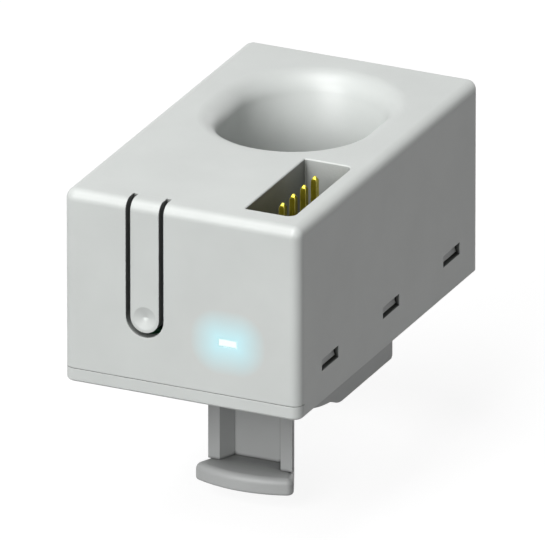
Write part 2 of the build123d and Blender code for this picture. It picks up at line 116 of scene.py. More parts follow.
class NodeSheet:
    """Places and joins shader nodes in one material, world or group."""

    NOISE_RANGE: tuple[float, float] = (0.3, 0.7)

    def __init__(self, tree: bpy.types.NodeTree) -> None:
        """Starts on a node tree.

        Args:
            tree: the tree that the nodes go into.
        """
        self.tree = tree

    def add(self, kind: str, values: dict | None = None, **settings: object) -> bpy.types.Node:
        """Adds a node.

        Args:
            kind: the node's type, without its ShaderNode prefix.
            values: plain values or sockets by input name or number.
            settings: the node's own properties.

        Returns:
            The new node.
        """
        node = self.tree.nodes.new("ShaderNode" + kind)
        for name, value in settings.items():
            setattr(node, name, value)
        self.feed(node, values or {})
        return node

    def calc(self, operation: str, *values: object, clamp: bool = False) -> bpy.types.NodeSocket:
        """Adds a Math node.

        Args:
            operation: the Math node's operation.
            values: its inputs, numbers or sockets.
            clamp: whether the result is held between 0 and 1.

        Returns:
            The result's socket.
        """
        node = self.add("Math", dict(enumerate(values)), operation=operation, use_clamp=clamp)
        return node.outputs[0]

    def vector(self, operation: str, *values: object) -> bpy.types.Node:
        """Adds a Vector Math node.

        Args:
            operation: the node's operation.
            values: its inputs, vectors or sockets.

        Returns:
            The node.
        """
        return self.add("VectorMath", dict(enumerate(values)), operation=operation)

    def group(self, effect: bpy.types.NodeTree, values: dict) -> bpy.types.Node:
        """Places a shared effect.

        Args:
            effect: the effect's node group.
            values: plain values or sockets by input name.

        Returns:
            The group's node.
        """
        node = self.add("Group", node_tree=effect)
        self.feed(node, values)
        return node

    def feed(self, node: bpy.types.Node, values: dict) -> None:
        """Gives a node its inputs.

        Args:
            node: the node.
            values: plain values or sockets by input name or number.
        """
        for key, value in values.items():
            if isinstance(value, bpy.types.NodeSocket):
                self.tree.links.new(value, node.inputs[key])
            else:
                node.inputs[key].default_value = value

    def blend(self, share: object, first: object, second: object) -> bpy.types.NodeSocket:
        """Mixes two colours.

        Args:
            share: how much of the second colour, a number or a socket.
            first: the colour at 0, a colour or a socket.
            second: the colour at 1, a colour or a socket.

        Returns:
            The mixed colour's socket.
        """
        whole = [c if isinstance(c, bpy.types.NodeSocket) else (*c, 1.0) for c in (first, second)]
        node = self.add("Mix", {0: share, 6: whole[0], 7: whole[1]}, data_type="RGBA")
        return node.outputs[2]

    def span(self, value: object, low: float, high: float, start: float, end: float) -> bpy.types.NodeSocket:
        """Maps a range onto another and holds it there.

        Args:
            value: the socket that is read.
            low: the reading that gives start.
            high: the reading that gives end.
            start: the result at low.
            end: the result at high.

        Returns:
            The mapped value's socket.
        """
        node = self.add("MapRange", {0: value, 1: low, 2: high, 3: start, 4: end})
        return node.outputs[0]

    def noise_span(self, noise: bpy.types.Node, start: float, end: float) -> bpy.types.NodeSocket:
        """Maps the range in which nearly all of a noise lies onto another.

        Args:
            noise: the Noise Texture node.
            start: the result at the noise's low end.
            end: the result at its high end.

        Returns:
            The mapped value's socket.
        """
        return self.span(noise.outputs[0], *self.NOISE_RANGE, start, end)


class EffectGroups:
    """The effects that several finishes share, each built once as a node group.

    The pairs are the readings between which an effect sets in, from the one that gives 0 to the one that
    gives 1.
    """

    SHEEN: tuple[float, float] = (0.35, 0.65)
    PITS: tuple[float, float] = (0.1, 0.6)
    EDGES: tuple[float, float] = (0.999, 0.9)
    OUT_OF_GAPS: tuple[float, float] = (0.38, 0.85)
    OUT_OF_RECESSES: tuple[float, float] = (0.3, 0.76)
    HELD: tuple[float, float] = (0.98, 0.5)
    UPWARD: tuple[float, float] = (0.6, 0.95)
    _made: dict[str, bpy.types.NodeTree] = {}

    @classmethod
    def _start(cls, name: str, inputs: dict[str, str],
               outputs: dict[str, str]) -> tuple[NodeSheet, bpy.types.Node, bpy.types.Node]:
        """Makes an empty group with named sockets.

        Args:
            name: the group's name.
            inputs: socket type by input name.
            outputs: socket type by output name.

        Returns:
            The group's node sheet, and its nodes for what goes in and what comes out.
        """
        tree = bpy.data.node_groups.new(name, "ShaderNodeTree")
        for title, kind in inputs.items():
            tree.interface.new_socket(title, in_out="INPUT", socket_type="NodeSocket" + kind)
        for title, kind in outputs.items():
            tree.interface.new_socket(title, in_out="OUTPUT", socket_type="NodeSocket" + kind)
        cls._made[name] = tree
        return NodeSheet(tree), tree.nodes.new("NodeGroupInput"), tree.nodes.new("NodeGroupOutput")

    @classmethod
    def spark_grain(cls) -> bpy.types.NodeTree:
        """Gives the fine grain that a spark-eroded mould leaves, and a slow drift of tone.

        Returns:
            The group: Vector, Fine and Broad in, Height, Sheen and Drift out.
        """
        name = "spark_grain"
        if name in cls._made:
            return cls._made[name]
        sheet, given, result = cls._start(name, {"Vector": "Vector", "Fine": "Float", "Broad": "Float"},
                                          {"Height": "Float", "Sheen": "Float", "Drift": "Float"})
        fine = sheet.add("TexNoise", {"Vector": given.outputs[0], "Scale": given.outputs[1],
                                      "Detail": 2.0, "Roughness": 0.55})
        pits = sheet.add("TexVoronoi", {"Vector": given.outputs[0],
                                        "Scale": sheet.calc("MULTIPLY", given.outputs[1], 1.7)})
        broad = sheet.add("TexNoise", {"Vector": given.outputs[0], "Scale": given.outputs[2], "Detail": 3.0})
        pit = sheet.span(pits.outputs["Distance"], *cls.PITS, 0.0, 1.0)
        sheet.feed(result, {
            "Height": sheet.calc("ADD", sheet.calc("MULTIPLY", fine.outputs[0], 0.7),
                                 sheet.calc("MULTIPLY", pit, 0.3)),
            "Sheen": sheet.span(fine.outputs[0], *cls.SHEEN, 0.0, 1.0),
            "Drift": sheet.noise_span(broad, 0.0, 1.0),
        })
        return sheet.tree

    @classmethod
    def soft_edge(cls) -> bpy.types.NodeTree:
        """Rounds the shading over sharp edges and marks where they are.

        Returns:
            The group: Radius in, Normal and Edge out.
        """
        name = "soft_edge"
        if name in cls._made:
            return cls._made[name]
        sheet, given, result = cls._start(name, {"Radius": "Float"}, {"Normal": "Vector", "Edge": "Float"})
        rounded = sheet.add("Bevel", {"Radius": given.outputs[0]}, samples=6)
        flat = sheet.add("NewGeometry")
        alike = sheet.vector("DOT_PRODUCT", rounded.outputs[0], flat.outputs["Normal"])
        sheet.feed(result, {"Normal": rounded.outputs[0],
                            "Edge": sheet.span(alike.outputs["Value"], *cls.EDGES, 0.0, 1.0)})
        return sheet.tree

    @classmethod
    def crevice_shade(cls) -> bpy.types.NodeTree:
        """Finds narrow gaps and deep recesses, for painted shade where little light gets in.

        Returns:
            The group: Gap and Recess in, the reach of each; Open and Free out, 0 deep inside and 1 outside,
            and Ledge, 1 on upward faces inside a recess, where a painted shadow goes.
        """
        name = "crevice_shade"
        if name in cls._made:
            return cls._made[name]
        sheet, given, result = cls._start(name, {"Gap": "Float", "Recess": "Float"},
                                          {"Open": "Float", "Free": "Float", "Ledge": "Float"})
        near = sheet.add("AmbientOcclusion", {"Distance": given.outputs[0]}, samples=12)
        far = sheet.add("AmbientOcclusion", {"Distance": given.outputs[1]}, samples=8, only_local=True)
        facing = sheet.add("SeparateXYZ", {0: sheet.add("NewGeometry").outputs["Normal"]})
        upward = sheet.span(facing.outputs[2], *cls.UPWARD, 0.0, 1.0)
        held = sheet.span(far.outputs["AO"], *cls.HELD, 0.0, 1.0)
        sheet.feed(result, {
            "Open": sheet.span(near.outputs["AO"], *cls.OUT_OF_GAPS, 0.0, 1.0),
            "Free": sheet.span(far.outputs["AO"], *cls.OUT_OF_RECESSES, 0.0, 1.0),
            "Ledge": sheet.calc("MULTIPLY", upward, held),
        })
        return sheet.tree


@dataclass(frozen=True)
class Finish:
    """A surface finish; each kind builds its own material."""

    name: str
    colour: Colour

    def _begin(self) -> tuple[bpy.types.Material, NodeSheet, bpy.types.Node]:
        """Starts an empty material.

        Returns:
            The material, its node sheet and its Principled shader.
        """
        material = bpy.data.materials.new(self.name)
        material.use_nodes = True
        sheet = NodeSheet(material.node_tree)
        shader = material.node_tree.nodes["Principled BSDF"]
        shader.inputs["Base Color"].default_value = (*self.colour, 1.0)
        return material, sheet, shader

    def material(self) -> bpy.types.Material:
        """Builds the material, or finds the one already built.

        Returns:
            The material.
        """
        if self.name not in FINISHED:
            FINISHED[self.name] = self._build()
        return FINISHED[self.name]

    def _build(self) -> bpy.types.Material:
        """Builds the material, in each kind's own way."""
        raise NotImplementedError


@dataclass(frozen=True)
class MouldedPlastic(Finish):
    """Injection moulded plastic with a fine spark-eroded grain."""

    gloss: Gloss = Gloss.SATIN
    grain_size: float = 0.16
    grain_depth: float = 0.005
    drift: float = 0.03
    drift_size: float = 7.0
    edge_round: float = 0.09
    # Painted highlight: sharp edges are lifted towards white.
    edge_highlight_lift: float = 0.06
    # Painted shade: the colour darkens in narrow gaps.
    gap_reach: float = 0.45
    gap_shade_tone: float = 0.06
    recess_reach: float = 10.0
    # Painted shade: the colour darkens deep in recesses.
    recess_shade_tone: float = 0.36
    # Painted shadow: upward faces inside a recess darken.
    ledge_shadow_tone: float = 0.3
    duller: float = 0.05
    glossier: float = 0.04
    specular: float = 0.6

    def _surface(self, sheet: NodeSheet, shader: bpy.types.Node) -> bpy.types.NodeSocket:
        """Joins grain, tone and soft edges to a shader, with a painted highlight on the edges and painted
        shade in gaps, in recesses and on ledges inside them.

        Args:
            sheet: the material's node sheet.
            shader: its Principled shader.

        Returns:
            The Object coordinates' socket.
        """
        place = sheet.add("TexCoord").outputs["Object"]
        grain = sheet.group(EffectGroups.spark_grain(), {
            "Vector": place,
            "Fine": 1.0 / (self.grain_size * MM),
            "Broad": 1.0 / (self.drift_size * MM),
        })
        edge = sheet.group(EffectGroups.soft_edge(), {"Radius": self.edge_round * MM})
        shade = sheet.group(EffectGroups.crevice_shade(), {"Gap": self.gap_reach * MM,
                                                           "Recess": self.recess_reach * MM})
        tone = sheet.blend(grain.outputs["Drift"], shaded(self.colour, 1.0 - self.drift),
                           shaded(self.colour, 1.0 + self.drift))
        # Painted highlight on sharp edges.
        edge_highlighted = sheet.blend(edge.outputs["Edge"], tone, shaded(self.colour, 1.0, self.edge_highlight_lift))
        # Painted shade deep in recesses, found by the part's own long-reach occlusion.
        recess_shaded = sheet.blend(shade.outputs["Free"], shaded(self.colour, self.recess_shade_tone), edge_highlighted)
        # Painted shadow on upward faces inside a recess, such as the latch lip under the housing.
        ledge_shaded = sheet.blend(shade.outputs["Ledge"], recess_shaded, shaded(self.colour, self.ledge_shadow_tone))
        rough = self.gloss.value
        bump = sheet.add("Bump", {"Height": grain.outputs["Height"],
                                  "Normal": self._lean(sheet, place, edge.outputs["Normal"]),
                                  "Distance": self.grain_depth * MM, "Strength": 1.0})
        sheet.feed(shader, {
            # Painted shade in narrow gaps: the colour falls to a dark tone where short-reach occlusion is
            # high.
            "Base Color": sheet.blend(shade.outputs["Open"], shaded(self.colour, self.gap_shade_tone), ledge_shaded),
            "Roughness": sheet.span(grain.outputs["Sheen"], 0.0, 1.0, rough - self.glossier,
                                    rough + self.duller),
            "Normal": bump.outputs[0],
            "Specular IOR Level": self.specular,
        })
        return place

    def _lean(self, sheet: NodeSheet, place: bpy.types.NodeSocket,
              normal: bpy.types.NodeSocket) -> bpy.types.NodeSocket:
        """Gives the normal of the moulded walls, here as it comes.

        Args:
            sheet: the material's node sheet.
            place: the Object coordinates' socket.
            normal: the normal's socket.

        Returns:
            The normal's socket.
        """
        return normal

    def _build(self) -> bpy.types.Material:
        """Builds the material.

        Returns:
            The material.
        """
        material, sheet, shader = self._begin()
        self._surface(sheet, shader)
        return material


@dataclass(frozen=True)
class GlowingPlastic(MouldedPlastic):
    """Moulded plastic that glows around the lit window and opens softly out of the passage."""

    glow: Colour = (0.0, 0.27, 0.34)
    window: str = "light_guide"
    reach: float = 3.05
    straight_half: float = 2.0
    mouth_radius: float = 9.8
    ease_start: float = 8.5
    ease_end: float = 18.3
    ease_top: float = 20.2
    ease_slope: float = 0.4
    # Painted shade: the passage's wall darkens with depth between these heights.
    deep_shade_start: float = 17.5
    deep_shade_full: float = 11.0
    deep_shade_share: float = 0.5
    deep_shade_tone: float = 0.3

    def _inside(self, sheet: NodeSheet, part: bpy.types.Node) -> bpy.types.NodeSocket:
        """Marks the passage's wall and flare.

        Args:
            sheet: the material's node sheet.
            part: the Object coordinates, taken apart.

        Returns:
            A mask's socket: 1 within the mouth's outline and 0 outside.
        """
        past = sheet.calc("SUBTRACT", sheet.calc("ABSOLUTE", part.outputs[1]), self.straight_half * MM)
        flat = sheet.add("CombineXYZ", {0: part.outputs[0], 1: sheet.calc("MAXIMUM", past, 0.0)})
        distance = sheet.vector("LENGTH", flat.outputs[0]).outputs["Value"]
        return sheet.calc("LESS_THAN", distance, self.mouth_radius * MM)

    def _lean(self, sheet: NodeSheet, place: bpy.types.NodeSocket,
              normal: bpy.types.NodeSocket) -> bpy.types.NodeSocket:
        """Leans the passage's wall outwards towards its mouth, most just under the flare.

        Args:
            sheet: the material's node sheet.
            place: the Object coordinates' socket.
            normal: the normal's socket.

        Returns:
            The leaned normal's socket.
        """
        part = sheet.add("SeparateXYZ", {0: place})
        wall = sheet.span(part.outputs[2], self.ease_start * MM, self.ease_end * MM, 0.0, 1.0)
        flare = sheet.span(part.outputs[2], self.ease_end * MM, self.ease_top * MM, 1.0, 0.0)
        below = sheet.calc("MULTIPLY", sheet.calc("SUBTRACT", 1.0, sheet.calc("POWER", wall, 2.0)),
                           self.ease_slope * (self.ease_end - self.ease_start) * MM / 2)
        above = sheet.calc("MULTIPLY", sheet.calc("POWER", flare, 2.0),
                           self.ease_slope * (self.ease_top - self.ease_end) * MM / 2)
        height = sheet.calc("MULTIPLY", sheet.calc("ADD", below, above), self._inside(sheet, part))
        eased = sheet.add("Bump", {"Height": height, "Normal": normal, "Distance": 1.0, "Strength": 1.0})
        return eased.outputs[0]

    def _paint_deep_shade(self, sheet: NodeSheet, shader: bpy.types.Node, place: bpy.types.NodeSocket) -> None:
        """Paints shade on the passage's wall, darker with depth.

        Args:
            sheet: the material's node sheet.
            shader: its Principled shader, whose colour is joined.
            place: the Object coordinates' socket.
        """
        part = sheet.add("SeparateXYZ", {0: place})
        deep = sheet.span(part.outputs[2], self.deep_shade_start * MM, self.deep_shade_full * MM, 0.0, self.deep_shade_share)
        deep_shaded = sheet.calc("MULTIPLY", deep, self._inside(sheet, part))
        tone = shader.inputs["Base Color"].links[0].from_socket
        sheet.feed(shader, {"Base Color": sheet.blend(deep_shaded, tone, shaded(self.colour, self.deep_shade_tone))})

    def _build(self) -> bpy.types.Material:
        """Builds the material with painted shade deep in the passage and the fading painted glow round the
        window.

        Returns:
            The material.
        """
        material, sheet, shader = self._begin()
        place = self._surface(sheet, shader)
        self._paint_deep_shade(sheet, shader, place)
        low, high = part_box(self.window)
        away = sheet.vector("SUBTRACT", place, ((low.x + high.x) / 2, low.y, (low.z + high.z) / 2)).outputs[0]
        half = ((high.x - low.x) / 2, 0.0, (high.z - low.z) / 2)
        past = sheet.vector("SUBTRACT", sheet.vector("ABSOLUTE", away).outputs[0], half).outputs[0]
        outside = sheet.vector("MAXIMUM", past, Vector()).outputs[0]
        distance = sheet.vector("LENGTH", outside).outputs["Value"]
        near = sheet.span(distance, 0.0, self.reach * MM, 1.0, 0.0)
        sheet.feed(shader, {"Emission Color": sheet.blend(near, BLACK, self.glow),
                            "Emission Strength": 1.0})
        return material


@dataclass(frozen=True)
class LitPlastic(Finish):
    """Milky light guide lit from behind."""

    rim: Colour = (0.55, 0.93, 0.95)
    unlit: Colour = (0.03, 0.05, 0.05)
    unlit_rim: Colour = (0.05, 0.09, 0.09)
    roughness: tuple[float, float] = (0.18, 0.3)
    window: str = "light_guide"
    rim_width: float = 0.16
    mist_scale: float = 2200.0
    mist_depth: float = 0.05
    brightness: float = 0.93

    def _build(self) -> bpy.types.Material:
        """Builds the material: white in the middle, tinted towards its rim.

        Returns:
            The material.
        """
        material, sheet, shader = self._begin()
        place = sheet.add("TexCoord").outputs["Object"]
        low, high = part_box(self.window)
        away = sheet.vector("SUBTRACT", place, tuple((low + high) / 2)).outputs[0]
        part = sheet.add("SeparateXYZ", {0: sheet.vector("ABSOLUTE", away).outputs[0]})
        side = sheet.calc("SUBTRACT", (high.x - low.x) / 2, part.outputs[0])
        top = sheet.calc("SUBTRACT", (high.z - low.z) / 2, part.outputs[2])
        inward = sheet.calc("MINIMUM", side, top)
        mist = sheet.add("TexNoise", {"Vector": place, "Scale": self.mist_scale, "Detail": 2.0})
        depth = sheet.calc("ADD", inward, sheet.calc("MULTIPLY", mist.outputs[0], self.mist_depth * MM))
        share = sheet.span(depth, 0.0, self.rim_width * MM, 0.0, 1.0)
        sheet.feed(shader, {
            "Base Color": sheet.blend(share, self.unlit_rim, self.unlit),
            "Roughness": sheet.noise_span(mist, *self.roughness),
            "Emission Color": sheet.blend(share, self.rim, self.colour),
            "Emission Strength": self.brightness,
        })
        return material


@dataclass(frozen=True)
class PlatedMetal(Finish):
    """Plated metal with faint drawing lines along Z and a painted highlight that turns its edges pale."""

    dark: Colour = (0.4, 0.3, 0.12)
    pale_edge_highlight: Colour = (0.9, 0.88, 0.8)
    roughness: float = 0.24
    glossier: float = 0.05
    duller: float = 0.1
    cloud_scale: float = 900.0
    cloud_share: float = 0.6
    line_size: float = 0.05
    line_stretch: float = 0.04
    line_depth: float = 0.002
    edge_round: float = 0.07
    bright_metallic: float = 0.88
    pale_edge_highlight_metallic: float = 0.1

    def _build(self) -> bpy.types.Material:
        """Builds the material.

        Returns:
            The material.
        """
        material, sheet, shader = self._begin()
        place = sheet.add("TexCoord").outputs["Object"]
        drawn = sheet.add("Mapping", {"Vector": place, "Scale": (1.0, 1.0, self.line_stretch)})
        lines = sheet.add("TexNoise", {"Vector": drawn.outputs[0], "Scale": 1.0 / (self.line_size * MM),
                                       "Detail": 3.0})
        cloud = sheet.add("TexNoise", {"Vector": place, "Scale": self.cloud_scale, "Detail": 2.0})
        share = sheet.span(cloud.outputs[0], 0.35, 0.75, 0.0, self.cloud_share)
        plating = sheet.blend(share, self.colour, self.dark)
        edge = sheet.group(EffectGroups.soft_edge(), {"Radius": self.edge_round * MM}).outputs["Edge"]
        bump = sheet.add("Bump", {"Height": lines.outputs[0], "Distance": self.line_depth * MM,
                                  "Strength": 0.6})
        sheet.feed(shader, {
            # Painted highlight: edges turn pale and barely metallic, standing in for a bright reflected line.
            "Base Color": sheet.blend(edge, plating, self.pale_edge_highlight),
            "Metallic": sheet.span(edge, 0.0, 0.7, self.bright_metallic, self.pale_edge_highlight_metallic),
            "Roughness": sheet.noise_span(lines, self.roughness - self.glossier,
                                          self.roughness + self.duller),
            "Normal": bump.outputs[0],
        })
        return material


@dataclass(frozen=True)
class SolderResist(Finish):
    """Lacquered board with the glass weave faintly showing."""

    weave: float = 0.45
    weave_depth: float = 0.006
    weave_share: float = 0.35
    unit_wave: float = 0.314
    cloud_scale: float = 500.0
    cloud_share: float = 0.4
    lighter: float = 1.9
    roughness: tuple[float, float] = (0.22, 0.36)

    def _build(self) -> bpy.types.Material:
        """Builds the material.

        Returns:
            The material.
        """
        material, sheet, shader = self._begin()
        place = sheet.add("TexCoord").outputs["Object"]
        across, along = (
            sheet.add("TexWave", {"Vector": place, "Scale": self.unit_wave / (self.weave * MM),
                                  "Distortion": 0.6}, bands_direction=way).outputs["Fac"]
            for way in "XY")
        woven = sheet.calc("MULTIPLY", across, along)
        cloud = sheet.add("TexNoise", {"Vector": place, "Scale": self.cloud_scale, "Detail": 4.0})
        share = sheet.calc("ADD", sheet.calc("MULTIPLY", woven, self.weave_share),
                           sheet.calc("MULTIPLY", cloud.outputs[0], self.cloud_share), clamp=True)
        bump = sheet.add("Bump", {"Height": woven, "Distance": self.weave_depth * MM, "Strength": 0.5})
        sheet.feed(shader, {
            "Base Color": sheet.blend(share, self.colour, shaded(self.colour, self.lighter, 0.01)),
            "Roughness": sheet.noise_span(cloud, *self.roughness),
            "Normal": bump.outputs[0],
        })
        return material


@dataclass(frozen=True)
class GrittyBody(Finish):
    """Dense, slightly gritty body: chip mouldings, ceramic or a pressed core."""

    second: Colour = (0.08, 0.08, 0.08)
    grit_size: float = 0.08
    grit_depth: float = 0.008
    drift_size: float = 1.5
    roughness: float = 0.55
    spread: float = 0.08
    metallic: float = 0.0

    def _build(self) -> bpy.types.Material:
        """Builds the material.

        Returns:
            The material.
        """
        material, sheet, shader = self._begin()
        place = sheet.add("TexCoord").outputs["Object"]
        grain = sheet.group(EffectGroups.spark_grain(), {
            "Vector": place,
            "Fine": 1.0 / (self.grit_size * MM),
            "Broad": 1.0 / (self.drift_size * MM),
        })
        speck = sheet.calc("MULTIPLY", grain.outputs["Sheen"], grain.outputs["Drift"])
        bump = sheet.add("Bump", {"Height": grain.outputs["Height"], "Distance": self.grit_depth * MM,
                                  "Strength": 0.8})
        sheet.feed(shader, {
            "Base Color": sheet.blend(speck, self.colour, self.second),
            "Roughness": sheet.span(grain.outputs["Sheen"], 0.0, 1.0, self.roughness - self.spread,
                                    self.roughness + self.spread),
            "Metallic": self.metallic,
            "Normal": bump.outputs[0],
        })
        return material


PALE_GREY: Colour = (0.640, 0.665, 0.648)
HOUSING_PLASTIC = GlowingPlastic("housing_plastic", PALE_GREY, gap_reach=0.75, gap_shade_tone=0.12)
BUTTON_PLASTIC = MouldedPlastic("button_plastic", PALE_GREY, gap_reach=0.75, gap_shade_tone=0.12)
BASE_PLASTIC = MouldedPlastic("base_plastic", (0.632, 0.656, 0.640), gap_shade_tone=0.6)
FOOT_PLASTIC = MouldedPlastic("foot_plastic", (0.51, 0.525, 0.52), gloss=Gloss.SOFT, recess_reach=6.0,
                              recess_shade_tone=0.6)
LATCH_PLASTIC = MouldedPlastic("latch_plastic", (0.57, 0.582, 0.577), gloss=Gloss.SOFT, recess_reach=5.0,
                               recess_shade_tone=0.95)
CLEAR_PLASTIC = LitPlastic("clear_plastic", (0.97, 1.0, 1.0))
PIN_METAL = PlatedMetal("pin_metal", (0.72, 0.62, 0.05), dark=(0.42, 0.33, 0.02), pale_edge_highlight=(0.97, 0.93, 0.62),
                        roughness=0.18)
CAN_METAL = PlatedMetal("can_metal", (0.72, 0.72, 0.73), dark=(0.5, 0.5, 0.52))
BOARD_LAMINATE = SolderResist("board_laminate", (0.012, 0.085, 0.035))
HEADER_PLASTIC = GrittyBody("header_plastic", (0.03, 0.03, 0.032), second=(0.06, 0.06, 0.062))
CHIP_PLASTIC = GrittyBody("chip_plastic", (0.022, 0.022, 0.024), second=(0.05, 0.05, 0.052))
LED_RESIN = GrittyBody("led_resin", (0.7, 0.78, 0.72), second=(0.85, 0.9, 0.85), roughness=0.3)
PLUNGER_PLASTIC = GrittyBody("plunger_plastic", (0.4, 0.4, 0.4), second=(0.5, 0.5, 0.5), roughness=0.45)
CAPACITOR_CERAMIC = GrittyBody("capacitor_ceramic", (0.42, 0.3, 0.2), second=(0.52, 0.4, 0.28), roughness=0.4)
CORE_METAL = GrittyBody("core_metal", (0.09, 0.09, 0.095), second=(0.18, 0.18, 0.19), roughness=0.45,
                        metallic=0.6)


def dress(node: str, finish: Finish) -> bpy.types.Object:
    """Gives a CAD node its finish.

    Args:
        node: the node's name.
        finish: the finish for its whole surface.

    Returns:
        The node's object.
    """
    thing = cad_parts[node]
    thing.data.materials.clear()
    thing.data.materials.append(finish.material())
    return thing


class Bench:
    """The modelling bench: operators on one new mesh at a time."""

    FACING: float = 0.9
    BEVEL_ANGLE: float = math.radians(30.0)
    SMOOTH_ANGLE: float = math.radians(60.0)

    @staticmethod
    def clear() -> None:
        """Leaves edit mode and deselects everything."""
        if bpy.context.object and bpy.context.object.mode != "OBJECT":
            bpy.ops.object.mode_set(mode="OBJECT")
        bpy.ops.object.select_all(action="DESELECT")

    @staticmethod
    def cube(low: Vector, high: Vector, name: str) -> bpy.types.Object:
        """Adds a box between two corners, with its place in its mesh.

        Args:
            low: the lowest corner, in metres.
            high: the highest corner, in metres.
            name: the new object's name.

        Returns:
            The new object, selected and active.
        """
        Bench.clear()
        bpy.ops.mesh.primitive_cube_add(size=1.0, location=(low + high) / 2)
        piece = bpy.context.object
        piece.name = name
        piece.scale = high - low
        bpy.ops.object.transform_apply(location=True, rotation=True, scale=True)
        return piece

    @staticmethod
    def pick_end(piece: bpy.types.Object, way: float) -> None:
        """Selects the faces at a piece's top or bottom.

        Args:
            piece: the object, in edit mode.
            way: 1 for the top and -1 for the bottom.
        """
        bpy.ops.mesh.select_mode(type="FACE")
        bpy.ops.mesh.select_all(action="DESELECT")
        mesh = bmesh.from_edit_mesh(piece.data)
        for face in mesh.faces:
            face.select_set(face.normal.z * way > Bench.FACING)
        bmesh.update_edit_mesh(piece.data)

    @staticmethod
    def soften(piece: bpy.types.Object, width: float, segments: int) -> None:
        """Rounds a piece's edges with an applied modifier and smooths its shading, flat faces kept flat.

        Args:
            piece: the object.
            width: the rounding's width, in metres.
            segments: how many faces it has across.
        """
        bevel = piece.modifiers.new("edges", "BEVEL")
        bevel.width = width
        bevel.segments = segments
        bevel.limit_method = "ANGLE"
        bevel.angle_limit = Bench.BEVEL_ANGLE
        bpy.context.view_layer.objects.active = piece
        bpy.ops.object.modifier_apply(modifier=bevel.name)
        bpy.ops.object.shade_smooth_by_angle(angle=Bench.SMOOTH_ANGLE)
        weighted = piece.modifiers.new("flat_faces", "WEIGHTED_NORMAL")
        weighted.keep_sharp = True
        bpy.ops.object.modifier_apply(modifier=weighted.name)

    @staticmethod
    def copy(first: bpy.types.Object, shift: Vector, name: str) -> bpy.types.Object:
        """Copies a finished piece with its own mesh.

        Args:
            first: the piece.
            shift: how far the copy lies from it, in metres.
            name: the copy's name.

        Returns:
            The copy.
        """
        copy = bpy.data.objects.new(name, first.data.copy())
        bpy.context.scene.collection.objects.link(copy)
        copy.data.transform(Matrix.Translation(shift))
        return copy


@dataclass
class HousingShell:
    """The upper housing and the push button that is moulded in its front wall."""

    shell: str = "upper_housing"
    button: str = "button_tongue"

    def build(self) -> list[bpy.types.Object]:
        """Dresses the shell and its button.

        Returns:
            The pieces.
        """
        return [dress(self.shell, HOUSING_PLASTIC), dress(self.button, BUTTON_PLASTIC)]


@dataclass
class BaseCover:
    """The base cover with its snap hooks and its front strip."""

    cover: str = "base_cover"
    hook_rows: tuple[float, ...] = (-21.15, -6.75, 7.65)
    hook_length: float = 3.4
    stem_face: float = 11.3
    lead_face: float = 12.3
    lead_low: float = 3.42
    lead_top: float = 3.72
    low_share: tuple[float, float, float] = (0.8, 0.97, 1.0)
    edge_round: float = 0.04

    def _model_lead(self) -> bpy.types.Object:
        """Models the sloped lead-in under a snap hook's catch, which shows in the side wall's window.

        Returns:
            The lead-in of the front right hook.
        """
        half = self.hook_length / 2
        row = self.hook_rows[0]
        low = Vector((self.stem_face, row - half, self.lead_low)) * MM
        high = Vector((self.lead_face, row + half, self.lead_top)) * MM
        lead = Bench.cube(low, high, "hook_lead_1")
        bpy.ops.object.mode_set(mode="EDIT")
        Bench.pick_end(lead, -1.0)
        bpy.ops.transform.resize(value=self.low_share, center_override=(self.stem_face * MM, row * MM, low.z))
        bpy.ops.object.mode_set(mode="OBJECT")
        Bench.soften(lead, self.edge_round * MM, 2)
        return lead

    def build(self) -> list[bpy.types.Object]:
        """Dresses the cover and gives its six hooks their lead-ins, the left ones turned half round.

        Returns:
            The pieces.
        """
        first = self._model_lead()
        first.data.materials.append(BASE_PLASTIC.material())
        leads = [first]
        for number, row in enumerate(self.hook_rows[1:], start=2):
            way = Vector((0.0, row - self.hook_rows[0], 0.0)) * MM
            leads.append(Bench.copy(first, way, f"hook_lead_{number}"))
        for number, (right, row) in enumerate(list(zip(leads, self.hook_rows)), start=len(leads) + 1):
            way = Vector((0.0, row, 0.0)) * MM
            left = Bench.copy(right, -way, f"hook_lead_{number}")
            left.data.transform(Matrix.Translation(way) @ Matrix.Rotation(math.pi, 4, "Z"))
            leads.append(left)
        for lead in leads:
            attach(lead, Body.HOUSING.value)
        return [dress(self.cover, BASE_PLASTIC)] + leads


@dataclass
class LitWindow:
    """The status light: its light guide in the front wall and the light source behind it."""

    guide: str = "light_guide"
    source: str = "status_led"

    def build(self) -> list[bpy.types.Object]:
        """Dresses the light guide and its source.

        Returns:
            The pieces.
        """
        return [dress(self.guide, CLEAR_PLASTIC), dress(self.source, LED_RESIN)]


